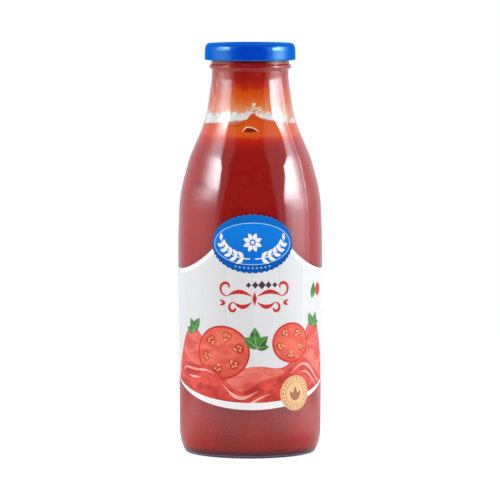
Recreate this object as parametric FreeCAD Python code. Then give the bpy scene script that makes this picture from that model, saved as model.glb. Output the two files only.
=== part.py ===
"""A glass bottle of tomato pulp: bottle, pressed twist-off cap, paper label and the pulp itself.

Frame: millimetres, +Z up, origin on the bottle's axis in the plane that it stands on.
The label's badge faces -Y. Every shape of revolution turns about Z.
"""

import FreeCAD, Part
import math
import os

from FreeCAD import Vector

# ---------------------------------------------------------------- driving dimensions
BODY_R = 36.0            # widest radius, just under the shoulder
HEEL_R = 35.3            # the body narrows a little towards the heel
HEEL_Z = 9.6
SHOULDER = [             # corners of the outside up to the neck: radius, height, rounding
    (BODY_R, 104.0, 300.0),
    (35.2, 129.1, 77.0),
    (30.65, 145.6, 12.0),
    (22.05, 165.9, 60.0),
]

WALL = 2.4               # glass thickness of the body and shoulder, measured level
NECK_WALL = 2.2
BASE_GLASS = 4.2         # thickness of the bottle's floor over the bearing ring

BEARING_R_IN = 27.6      # flat ring that the bottle stands on
HEEL_CORNER_R = 32.2     # sharp corner of the heel, before it is rounded
PUNT_HEIGHT = 3.6        # how far the underside is pushed up at the centre

NECK_R = 19.05           # neck, straight from here up to the carrying bead
NECK_Z = 186.7
FINISH_R = 19.4          # glass wall inside the cap, without the threads
BEAD_R = 20.35           # ring under the cap, by which the bottle is carried in the works
BEAD_Z = 192.4
BEAD_HALF = 1.2
LIP_Z = 202.9
BORE_R = 17.2

THREAD_STARTS = 4
THREAD_R = 0.9           # radius of the ridge's round section
THREAD_PEAK_R = 20.4     # how far out the ridges reach
THREAD_SPAN = 66.0       # degrees round the neck that one ridge takes
THREAD_LEAD = 3.2        # degrees by which a ridge slopes
THREAD_Z = 198.55        # height of a ridge's middle

CAP_R = 22.6             # outside of the skirt
CAP_TOP_Z = 204.15
CAP_BOTTOM_Z = 195.7
CAP_CORNER = 3.5         # radius where the top turns into the skirt
STEEL = 0.3              # lacquered tinplate
CURL_DEPTH = 1.75        # the skirt's edge is rolled inwards by this much
CURL_HEIGHT = 1.9
PANEL_R = 16.0           # the sunk middle of the cap's top
PANEL_SINK = 0.9
BUTTON_R = 9.0           # safety button, held down by the vacuum
BUTTON_SINK = 0.55
LUG_SPAN = 20.0          # degrees
LUG_R_IN = 19.7
LUG_PHASE = -12.0        # degrees from the middle of a thread ridge to the lug under it

FILL_Z = 165.3           # mean level of the pulp
FILL_SWELL = 0.5         # how uneven its surface is
MOUND_RISE = 4.2         # a lump that clings to the glass at the front
MOUND_R = 4.6
MOUND_X = 1.5
MOUND_Y = -19.0

PAPER = 0.12
LABEL_LOW_Z = 37.0       # the plain band round the back
LABEL_HIGH_Z = 92.7
LABEL_TURN = 1.2         # the front is off centre by this much, measured along the paper
LABEL_BOTTOM_Z = 24.7    # lowest point of the front's rounded bottom edge
LABEL_BOTTOM_ARC = 102.0
SWOOP_ARC = 39.0         # hollow curves that climb to the badge
SWOOP_START = 48.0       # where they leave the plain band, from the front's middle
SWOOP_END = 18.0
BADGE_Z = 106.7
BADGE_HALF_W = 20.4
BADGE_HALF_H = 14.0
BADGE_SCALLOPS = 44
SCALLOP_RISE = 0.55
SEAL_ALONG = 22.9        # round seal on the bottom edge, from the front's middle
SEAL_Z = 32.3
SEAL_R = 8.7
LAP = 3.0                # half the width of the glued overlap at the back

FULL_TURN = 360.0
AXIS = Vector(0, 0, 1)
ORIGIN = Vector(0, 0, 0)


# ---------------------------------------------------------------- drawing helpers
def point(r, z):
    """A point of a profile, in the half plane that is turned about Z."""
    return Vector(r, 0, z)


def rounded(corners):
    """Edges along (r, z, fillet) corners, with a tangent arc where the fillet isn't 0."""
    edges = []
    last = point(*corners[0][:2])
    for before, here, after in zip(corners, corners[1:], corners[2:]):
        corner = point(*here[:2])
        back = (point(*before[:2]) - corner).normalize()
        ahead = (point(*after[:2]) - corner).normalize()
        start = end = corner
        middle = None
        if here[2]:
            half_turn = (math.pi - back.getAngle(ahead)) / 2
            tangent = here[2] * math.tan(half_turn)
            start, end = corner + back * tangent, corner + ahead * tangent
            inward = (back + ahead).normalize()
            middle = corner + inward * (here[2] / math.cos(half_turn) - here[2])
        if (start - last).Length > 1e-6:
            edges.append(Part.LineSegment(last, start).toShape())
        if middle is not None:
            edges.append(Part.Arc(start, middle, end).toShape())
        last = end
    edges.append(Part.LineSegment(last, point(*corners[-1][:2])).toShape())
    return edges


def turned(corners, angle=FULL_TURN):
    """The solid that a closed profile makes when it is turned about Z."""
    edges = rounded(list(corners) + [corners[0][:2] + (0,)])
    face = Part.Face(Part.Wire(edges))
    return face.revolve(ORIGIN, AXIS, angle)


def strip(path, thickness):
    """Corners of a bent sheet: the path of its middle, offset to both sides."""
    sides = []
    for side in (1, -1):
        shifted = []
        for i, (r, z, fillet) in enumerate(path):
            here = point(r, z)
            into = here - point(*path[i - 1][:2]) if i else None
            out = point(*path[i + 1][:2]) - here if i + 1 < len(path) else None
            into, out = into or out, out or into
            n1 = into.normalize().cross(Vector(0, 1, 0))
            n2 = out.normalize().cross(Vector(0, 1, 0))
            move = (n1 + n2) * (side * thickness / 2 / (1 + n1.dot(n2)))
            turn = into.cross(out).y
            bent = fillet - math.copysign(thickness / 2, turn) * side if fillet else 0
            shifted.append(((here + move).x, (here + move).z, bent))
        sides.append(shifted)
    return sides[0] + sides[1][::-1]


# ---------------------------------------------------------------- bottle
def outer_wall():
    """Corners of the outside of the glass, from the bearing ring up to the carrying bead."""
    heel = [
        (HEEL_CORNER_R, 0.0, 1.6),
        (HEEL_R - 0.7, HEEL_Z - 5.1, 18.0),
        (HEEL_R, HEEL_Z, 25.0),
    ]
    return heel + SHOULDER + [(NECK_R, NECK_Z, 30.0)]


def inner_wall():
    """Corners of the inside, from the bore down to the floor."""
    mouth = [
        (BORE_R, LIP_Z - 1.0, 0.0),
        (BORE_R, BEAD_Z - 2.4, 6.0),
        (NECK_R - NECK_WALL, NECK_Z - 0.8, 12.0),
    ]
    sides = [(r - WALL, z, rounding) for r, z, rounding in reversed(SHOULDER)]
    return mouth + sides + [
        (HEEL_R - WALL, 12.5, 12.0),
        (HEEL_R - WALL - 1.6, BASE_GLASS + 0.4, 6.0),
        (22.0, BASE_GLASS, 8.0),
        (14.0, BASE_GLASS + PUNT_HEIGHT - 0.6, 12.0),
        (0.0, BASE_GLASS + PUNT_HEIGHT, 0.0),
    ]


def thread_ridge(number):
    """One of the sloping ridges that the cap's lugs catch under."""
    major = THREAD_PEAK_R - THREAD_R
    ring = Part.makeTorus(major, THREAD_R, ORIGIN, AXIS, -180, 180, THREAD_SPAN)
    ring.rotate(ORIGIN, AXIS, -THREAD_SPAN / 2)
    ring.rotate(ORIGIN, Vector(1, 0, 0), THREAD_LEAD)
    ring.translate(Vector(0, 0, THREAD_Z))
    ring.rotate(ORIGIN, AXIS, number * FULL_TURN / THREAD_STARTS)
    return ring


def bottle():
    finish = [
        (NECK_R, BEAD_Z - BEAD_HALF - 0.5, 0.5),
        (BEAD_R, BEAD_Z - BEAD_HALF / 2, 0.75),
        (BEAD_R, BEAD_Z + BEAD_HALF / 2, 0.75),
        (FINISH_R, BEAD_Z + BEAD_HALF + 0.3, 0.5),
        (FINISH_R, LIP_Z, 0.9),
        (BORE_R, LIP_Z, 0.9),
    ]
    underside = [
        (0.0, PUNT_HEIGHT, 0.0),
        (12.0, PUNT_HEIGHT - 0.3, 14.0),
        (BEARING_R_IN - 2.0, 0.9, 4.0),
        (BEARING_R_IN, 0.0, 0.0),
    ]
    glass = turned(underside + outer_wall() + finish + inner_wall())
    return glass.fuse([thread_ridge(n) for n in range(THREAD_STARTS)]).removeSplitter()


# ---------------------------------------------------------------- pulp
def pulp_surface():
    """The uneven top of the pulp, as a smooth sheet that reaches past the neck's glass."""
    reach, steps = NECK_R + 6.0, 16
    rows = []
    for i in range(steps + 1):
        x = reach * (2 * i / steps - 1)
        row = []
        for j in range(steps + 1):
            y = reach * (2 * j / steps - 1)
            swell = math.sin(0.11 * x + 0.6) * math.cos(0.09 * y - 0.4)
            ripple = 0.4 * math.sin(0.23 * x - 0.17 * y + 1.1)
            far = math.hypot(x - MOUND_X, y - MOUND_Y) / MOUND_R
            mound = MOUND_RISE * math.exp(-far * far)
            row.append(Vector(x, y, FILL_Z + FILL_SWELL * (swell + ripple) + mound))
        rows.append(row)
    sheet = Part.BSplineSurface()
    sheet.interpolate(rows)
    return sheet.toShape()


def pulp():
    inside = turned([(0.0, LIP_Z - 1.0, 0.0)] + inner_wall())
    free_space = pulp_surface().extrude(Vector(0, 0, LIP_Z - FILL_Z + 10.0))
    return inside.cut(free_space)


# ---------------------------------------------------------------- cap
def cap():
    middle_top = CAP_TOP_Z - STEEL / 2
    middle_bottom = CAP_BOTTOM_Z + STEEL / 2
    skirt = CAP_R - STEEL / 2
    panel = middle_top - PANEL_SINK
    path = [
        (0.0, panel - BUTTON_SINK, 0.0),
        (BUTTON_R, panel - BUTTON_SINK, 1.2),
        (BUTTON_R + 1.6, panel, 1.2),
        (PANEL_R, panel, 0.8),
        (PANEL_R + 1.1, middle_top, 0.8),
        (skirt, middle_top, CAP_CORNER - STEEL / 2),
        (skirt, middle_bottom, 0.75),
        (skirt - CURL_DEPTH, middle_bottom, 0.75),
        (skirt - CURL_DEPTH, middle_bottom + CURL_HEIGHT, 0.0),
    ]
    shell = turned(strip(path, STEEL))
    compound = turned([
        (BORE_R - 0.2, LIP_Z, 0.0),
        (FINISH_R + 0.5, LIP_Z, 0.0),
        (FINISH_R + 0.5, middle_top, 0.0),
        (BORE_R + 0.3, middle_top, 0.0),
    ])
    lug_profile = [
        (LUG_R_IN, CAP_BOTTOM_Z + 0.35, 0.0),
        (skirt - CURL_DEPTH, CAP_BOTTOM_Z + 0.2, 0.0),
        (skirt - CURL_DEPTH, CAP_BOTTOM_Z + CURL_HEIGHT, 0.0),
        (LUG_R_IN, CAP_BOTTOM_Z + CURL_HEIGHT - 0.45, 0.0),
    ]
    lugs = []
    for number in range(THREAD_STARTS):
        lug = turned(lug_profile, LUG_SPAN)
        start = LUG_PHASE - LUG_SPAN / 2 + number * FULL_TURN / THREAD_STARTS
        lug.rotate(ORIGIN, AXIS, start)
        lugs.append(lug)
    return shell.fuse([compound] + lugs).removeSplitter()


# ---------------------------------------------------------------- label
def skin(inner, outer):
    """A layer over the outside of the glass, between two distances from it."""
    def bulk(offset):
        foot, body, shoulder, top = (
            (r + offset, z, fillet) for r, z, fillet in outer_wall()[2:6])
        return turned([
            (0, foot[1], 0), foot[:2] + (0,), body, shoulder, top[:2] + (0,), (0, top[1], 0)])
    return bulk(outer).cut(bulk(inner))


def on_paper(along, z):
    """A point of the unrolled label, seen from the front, on the plane through the axis."""
    return Vector(BODY_R * math.sin((along + LABEL_TURN) / BODY_R), 0, z)


def curve(points):
    line = Part.BSplineCurve()
    line.interpolate(points)
    return line.toShape()


def forwards(edges):
    """The prism from an outline on the plane through the axis, towards the viewer."""
    return Part.Face(Part.Wire(edges)).extrude(Vector(0, -2 * BODY_R, 0))


def front_outline():
    """Outline of the front without its badge: rounded below, swept up at both sides."""
    past = BODY_R + 5.0
    reach, steps = 50.0, 20
    bottom = []
    for i in range(-steps, steps + 1):
        along = reach * i / steps
        rise = LABEL_BOTTOM_ARC - math.sqrt(LABEL_BOTTOM_ARC ** 2 - along ** 2)
        bottom.append(on_paper(along, LABEL_BOTTOM_Z + rise))
    swoops = {}
    for side in (-1, 1):
        points = []
        for i in range(steps + 1):
            along = SWOOP_START + (SWOOP_END - SWOOP_START) * i / steps
            rise = SWOOP_ARC - math.sqrt(SWOOP_ARC ** 2 - (SWOOP_START - along) ** 2)
            points.append(on_paper(side * along, LABEL_HIGH_Z + rise))
        swoops[side] = points
    left, right = swoops[-1], swoops[1]
    outer = [Vector(x, 0, z) for x, z in (
        (past, LABEL_LOW_Z), (past, LABEL_HIGH_Z), (-past, LABEL_HIGH_Z), (-past, LABEL_LOW_Z))]
    line = lambda a, b: Part.LineSegment(a, b).toShape()
    return [
        curve(bottom), line(bottom[-1], outer[0]), line(outer[0], outer[1]),
        line(outer[1], right[0]), curve(right), line(right[-1], left[-1]),
        curve(left[::-1]), line(left[0], outer[2]), line(outer[2], outer[3]),
        line(outer[3], bottom[0]),
    ]


def badge_outline():
    """A scalloped oval, one arc for each scallop."""
    def at(step, rise):
        turn = 2 * math.pi * step / BADGE_SCALLOPS
        return on_paper(
            (BADGE_HALF_W + rise) * math.cos(turn),
            BADGE_Z + (BADGE_HALF_H + rise) * math.sin(turn),
        )
    arcs = []
    for n in range(BADGE_SCALLOPS):
        arcs.append(Part.Arc(at(n, 0), at(n + 0.5, SCALLOP_RISE), at(n + 1, 0)).toShape())
    return arcs


def seal_outline():
    steps = 16
    points = []
    for n in range(steps + 1):
        turn = 2 * math.pi * n / steps
        points.append(on_paper(
            SEAL_ALONG + SEAL_R * math.cos(turn), SEAL_Z + SEAL_R * math.sin(turn)))
    ring = Part.BSplineCurve()
    ring.interpolate(Points=points[:-1], PeriodicFlag=True)
    return [ring.toShape()]


def label():
    paper = skin(0.0, PAPER)
    fronts = [forwards(front_outline()), forwards(badge_outline()), forwards(seal_outline())]
    front = paper.common(fronts[0].fuse(fronts[1:]))
    size = 2 * BODY_R
    band = LABEL_HIGH_Z - LABEL_LOW_Z
    behind = Part.makeBox(2 * size, size, band, Vector(-size, 0, LABEL_LOW_Z))
    back = paper.common(behind)
    lap_block = Part.makeBox(2 * LAP, size, band, Vector(-LAP, 0, LABEL_LOW_Z))
    lap = skin(PAPER, 2 * PAPER).common(lap_block)
    return front.fuse([back, lap]).removeSplitter()


# ---------------------------------------------------------------- export
PIECES = {"bottle": bottle, "pulp": pulp, "cap": cap, "label": label}

os.makedirs("parts", exist_ok=True)
for name, make in PIECES.items():
    shape = make()
    solids = shape.Solids
    whole = solids[0] if len(solids) == 1 else shape
    whole.exportStep("parts/" + name + ".step")
    print(name, "solids", len(solids), "valid", whole.isValid(),
          "faces", len(whole.Faces), "volume cm3", round(whole.Volume / 1000, 2))
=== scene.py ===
"""Looks of a glass jar of tomato pulp with a blue twist-off cap and a wrap-round paper label.

Lengths below are in millimetres in the row's frame, and MM turns them into metres. A place round the
jar is an angle from the front (-Y), positive towards +X. A place on the label is a pair (along, z):
the distance along the paper from the front's middle, and the height.
"""

import itertools
import random
from math import atan2, ceil, cos, degrees, exp, hypot, pi, radians, sin, sqrt, tan

import bmesh
import bpy
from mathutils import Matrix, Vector, noise


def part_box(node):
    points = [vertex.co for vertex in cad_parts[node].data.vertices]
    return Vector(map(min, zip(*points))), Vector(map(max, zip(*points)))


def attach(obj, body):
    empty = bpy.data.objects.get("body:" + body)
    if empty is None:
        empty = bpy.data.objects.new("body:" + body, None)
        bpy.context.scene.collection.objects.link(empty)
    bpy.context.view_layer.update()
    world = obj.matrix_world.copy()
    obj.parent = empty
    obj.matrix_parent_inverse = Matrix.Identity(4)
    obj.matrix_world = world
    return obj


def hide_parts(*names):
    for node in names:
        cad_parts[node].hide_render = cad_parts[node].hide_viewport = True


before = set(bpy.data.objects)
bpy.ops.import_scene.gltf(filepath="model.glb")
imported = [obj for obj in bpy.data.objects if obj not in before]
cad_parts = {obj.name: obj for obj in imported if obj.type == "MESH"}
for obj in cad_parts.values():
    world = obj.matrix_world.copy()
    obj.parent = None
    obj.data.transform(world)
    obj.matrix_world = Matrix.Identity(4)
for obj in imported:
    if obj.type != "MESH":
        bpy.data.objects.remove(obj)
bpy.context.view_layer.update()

MM = 0.001
BOTTLE_LOW, BOTTLE_HIGH = (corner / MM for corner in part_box("bottle"))
CAP_LOW, CAP_HIGH = (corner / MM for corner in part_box("cap"))
PULP_LOW, PULP_HIGH = (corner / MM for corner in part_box("pulp"))
LABEL_LOW, LABEL_HIGH = (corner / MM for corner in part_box("label"))

# ---- sizes of the glass ----
BODY_R = 36.0
WALL = 2.4
NECK_WALL = 2.2
NECK_R = 19.05
NECK_Z = 186.7
HEEL_R = 35.3
HEEL_Z = 9.6
HEEL_CORNER_R = 32.2
BEARING_R_IN = 27.6
PUNT_HEIGHT = 3.6
BASE_GLASS = 2.4
FINISH_R = 19.4
BEAD_R = 20.35
BEAD_Z = 192.4
BEAD_HALF = 1.2
BORE_R = 17.2
LIP_Z = BOTTLE_HIGH.z
SHOULDER = [(BODY_R, 104.0, 300.0), (35.2, 129.1, 77.0), (30.1, 147.4, 40.0), (22.05, 165.9, 60.0)]
SEAM_ANGLE = radians(54)    # one of the two mould seams; the other is opposite

# ---- sizes of the contents ----
FILL_Z = 164.3
INTO_WALL = 0.08                 # the pulp reaches this far into the glass, so that no air shows
ORANGE_Z = 157.3                 # above this the pulp is thinner, and painted light shining through it makes it orange

STEEL = 0.3                      # the cap's tinplate

# ---- sizes of the label ----
PAPER = 0.12
INK = 0.02                       # each printed layer stands this much over the one below
LABEL_TURN = 1.2
LABEL_HIGH_Z = 92.7
LABEL_LOW_Z = 37.0
LABEL_BOTTOM_Z = 24.7
LABEL_BOTTOM_ARC = 102.0
SWOOP_ARC = 39.0
SWOOP_START = 48.0
SWOOP_END = 18.0
BADGE_Z = 106.7
BADGE_HALF_W = 20.4
BADGE_HALF_H = 14.0
BADGE_SCALLOPS = 44
SCALLOP_RISE = 0.55
SEAL_ALONG = 22.9
SEAL_Z = 32.3
SEAL_R = 8.7
HALF_ROUND = pi * BODY_R
STRIP_W = 1.5                    # a print is cut into strips this wide, and into lengths this high
STRIP_H = 6.0
BOARD_W = 13.5                   # width of a board in the paper's printed backdrop

# Each plain ink's colour, roughness and mottle, and each painted ink's two colours and roughness.
PLAIN_INKS = {
    "white": ((0.90, 0.90, 0.91), 0.4, 0.02),
    "pale_blue": ((0.40, 0.62, 0.86), 0.4, 0.04),
    "red": ((0.58, 0.022, 0.018), 0.4, 0.06),
    "dark": ((0.075, 0.03, 0.05), 0.4, 0.05),
    "lime": ((0.34, 0.52, 0.20), 0.45, 0.05),
    "peach": ((0.86, 0.55, 0.28), 0.45, 0.04),
    "brown": ((0.40, 0.14, 0.09), 0.45, 0.05),
}
ART_INKS = {
    "green": ((0.020, 0.110, 0.020), (0.085, 0.30, 0.055), 0.5),
    "hills_back": ((0.66, 0.072, 0.055), (0.86, 0.21, 0.165), 0.55),
    "hills_front": ((0.46, 0.018, 0.014), (0.80, 0.078, 0.055), 0.5),
    "shine": ((0.84, 0.30, 0.24), (0.90, 0.55, 0.48), 0.5),
    "flesh": ((0.70, 0.075, 0.045), (0.83, 0.165, 0.105), 0.5),
    "gel": ((0.50, 0.030, 0.012), (0.68, 0.085, 0.03), 0.5),
}

# ---- light ----
FLOOR_GLOW = 0.55                # what the floor adds for the camera, so that it is white
BOX_LIGHT = 25.0                 # how bright the soft boxes are in what glass mirrors
CAMERA_AWAY = 1890.0
CAMERA_UP = 156.25
LAMP_AWAY = 1600.0
LAMP_UP = 700.0
FLOOR_R = 620.0

# The mirrored room, as (degrees, brightness) stops. inner and outer are the soft box's edges by the
# angle from the front. cut, low, near and up go by height over the horizon: where cut or low is 1,
# the inner or outer edge moves out by cut_by or low_by degrees. Where near is 1, soft weakens the
# box by angle. The brightness by height is up.
LEFT_BOX = {
    "cut": [(23, 0.0), (32, 1.0)], "cut_by": 9.0,
    "low": [(7, 1.0), (10, 0.5), (15, 0.0)], "low_by": 24.0,
    "near": [(11, 1.0), (15, 0.6), (18, 0.0)],
    "inner": [(54.5, 0.0), (57.5, 0.90), (62, 1.0)],
    "outer": [(66, 1.0), (74, 0.80), (82, 0.52), (91, 0.22), (101, 0.06), (116, 0.01), (180, 0.0)],
    "soft": [(56, 0.4), (62, 0.6), (70, 0.9), (76, 1.0)],
    "up": [(-90, 0.0), (-6, 0.02), (1, 0.045), (5, 0.08), (8, 0.15), (10.5, 0.31), (14, 0.42), (17, 0.67),
           (20, 0.78), (24, 0.96), (28, 0.92), (31, 0.60), (34, 0.34), (37, 0.16), (42, 0.0)],
}
RIGHT_BOX = {
    "cut": [(12, 0.0), (18, 0.13), (22, 0.27), (27, 0.67), (30, 0.87), (34, 1.0)], "cut_by": 30.0,
    "low": [(5, 1.0), (10, 0.0)], "low_by": 8.0,
    "near": [(5, 1.0), (10, 0.0)],
    "inner": [(57, 0.0), (58.5, 0.40), (61.5, 0.80), (68, 1.0)],
    "outer": [(80, 1.0), (86, 0.90), (94, 0.46), (105, 0.12), (120, 0.02), (180, 0.0)],
    "soft": [(58, 0.3), (62, 0.5), (66, 0.62), (72, 0.9), (76, 1.0)],
    "up": [(-90, 0.0), (-6, 0.09), (-2, 0.16), (1, 0.22), (5, 0.35), (8, 0.50), (12, 0.80), (16, 1.0),
           (26, 1.0), (29, 0.60), (32, 0.30), (36, 0.06), (42, 0.0)],
}
LEFT_STRIP = [(46, 0.0), (50, 0.6), (54, 1.0), (110, 1.0), (125, 0.0)]
RIGHT_STRIP = [(44, 0.0), (48, 0.8), (52, 1.0), (110, 1.0), (125, 0.0)]
BACK_WALL = [(88, 0.0), (112, 0.80), (150, 0.88), (170, 0.72), (180, 0.65)]
CEILING = [(38, 1.0), (58, 0.06)]
TABLE = [(-180, 1.2), (-90, 1.35), (-15, 1.05), (15, 1.05), (90, 1.9), (180, 1.2)]
MATT_LIGHT = [(0, 0.56), (30, 0.62), (72, 1.42), (120, 1.38), (180, 1.05)]


def smoothstep(low, high, value):
    """0 below low, 1 above high, and a smooth rise between them."""
    t = min(1.0, max(0.0, (value - low) / (high - low)))
    return t * t * (3 - 2 * t)


def wobble(x, y, z=0.0, scale=1.0):
    """Smooth noise between about -1 and 1, the same on each run."""
    return noise.noise(Vector((x, y, z)) * scale)


# ---- mesh helpers ----
def make_object(name, verts, faces, sharp_angle=40.0):
    """A mesh object from millimetre vertices, smooth except at edges sharper than sharp_angle."""
    mesh = bpy.data.meshes.new(name)
    mesh.from_pydata([Vector(v) * MM for v in verts], [], faces)
    mesh.update()
    mesh.polygons.foreach_set("use_smooth", [True] * len(mesh.polygons))
    mesh.set_sharp_from_angle(angle=radians(sharp_angle))
    made = bpy.data.objects.new(name, mesh)
    bpy.context.collection.objects.link(made)
    return made


def dress(piece, material, replaces=()):
    """Gives a piece its material and its place in the frame."""
    piece.data.materials.append(material)
    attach(piece, "root")
    if replaces:
        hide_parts(*replaces)
    return piece


def polar(along, z, t, half_w, half_h):
    """A point of an ellipse round (along, z)."""
    return (along + half_w * cos(t), z + half_h * sin(t))


def turned(along, z, x, y, turn):
    """The point (x, y) of a shape that starts at (along, z) and points in the direction turn."""
    return (along + x * cos(turn) - y * sin(turn),
            z + x * sin(turn) + y * cos(turn))


def rounded(corners, step=3.0, longest=2.5):
    """Points (r, z) along (r, z, rounding) corners, with tangent arcs in steps of some degrees."""
    points = [corners[0][:2]]

    def line_to(r, z):
        r0, z0 = points[-1]
        pieces = max(1, ceil(hypot(r - r0, z - z0) / longest))
        for i in range(1, pieces + 1):
            points.append((r0 + (r - r0) * i / pieces, z0 + (z - z0) * i / pieces))

    for before, here, after in zip(corners, corners[1:], corners[2:]):
        corner = Vector(here[:2])
        if not here[2]:
            line_to(*corner)
            continue
        back = (Vector(before[:2]) - corner).normalized()
        ahead = (Vector(after[:2]) - corner).normalized()
        half_turn = (pi - back.angle(ahead)) / 2
        tangent = here[2] * tan(half_turn)
        line_to(*(corner + back * tangent))
        centre = corner + (back + ahead).normalized() * (here[2] / cos(half_turn))
        start = corner + back * tangent - centre
        turn = start.angle_signed(corner + ahead * tangent - centre)
        pieces = max(2, ceil(degrees(abs(turn)) / step))
        for i in range(1, pieces + 1):
            points.append(turned(*centre, *start, -turn * i / pieces))
    line_to(*corners[-1][:2])
    return points


def heading(points, i):
    """The direction at one point of a line."""
    ahead, behind = points[min(i + 1, len(points) - 1)], points[max(i - 1, 0)]
    return (Vector(ahead) - Vector(behind)).normalized()


def ribbon(points, widths):
    """Outline of a line through points, with its width at each of them."""
    left, right = [], []
    for i, ((a, z), width) in enumerate(zip(points, widths)):
        along = heading(points, i)
        left.append((a - along.y * width / 2, z + along.x * width / 2))
        right.append((a + along.y * width / 2, z - along.x * width / 2))
    return left + right[::-1]


def ring_angles(count, fine_at=(), fine=()):
    """Angles round the jar, evenly spaced, with more of them beside each angle in fine_at."""
    angles = [2 * pi * i / count - pi for i in range(count)]
    for middle in fine_at:
        angles = [a for a in angles if abs(a - middle) > max(fine) * 1.15]
        angles += [middle + side * offset for offset in fine for side in (-1, 1)]
        angles.append(middle)
    return sorted(angles)


def around(angle, r, z):
    """The point at an angle round the jar."""
    return (r * sin(angle), -r * cos(angle), z)


def bridge(rings, closed=False):
    """Faces between rings of vertex numbers, where a ring on the axis has only one number."""
    faces = []
    for low, high in zip(rings, rings[1:] + rings[:closed]):
        n = max(len(low), len(high))
        for i in range(n):
            j = (i + 1) % n
            if len(low) == 1:
                faces.append((low[0], high[j], high[i]))
            elif len(high) == 1:
                faces.append((low[i], low[j], high[0]))
            else:
                faces.append((low[i], low[j], high[j], high[i]))
    return faces


def revolve(name, outline, angles, change=None, sharp_angle=40.0, closed=False):
    """Turns an outline of (r, z) points round the axis. change(angle, r, z) moves a point."""
    verts, rings = [], []
    for r, z in outline:
        if r < 1e-6:
            rings.append([len(verts)])
            verts.append((0.0, 0.0, z))
            continue
        rings.append(range(len(verts), len(verts) + len(angles)))
        for angle in angles:
            verts.append(around(angle, *(change(angle, r, z) if change else (r, z))))
    return make_object(name, verts, bridge(rings, closed), sharp_angle)


def radius_along(points):
    """A function that gives the radius of an outline at a height, for a part where z only grows."""
    points = sorted(points, key=lambda p: p[1])

    def radius(z):
        (r0, z0), (r1, z1) = points[0], points[0]
        for r1, z1 in points[1:]:
            if z <= z1:
                return r0 + (r1 - r0) * max(0.0, (z - z0) / max(1e-9, z1 - z0))
            r0, z0 = r1, z1
        return r1

    return radius


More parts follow.
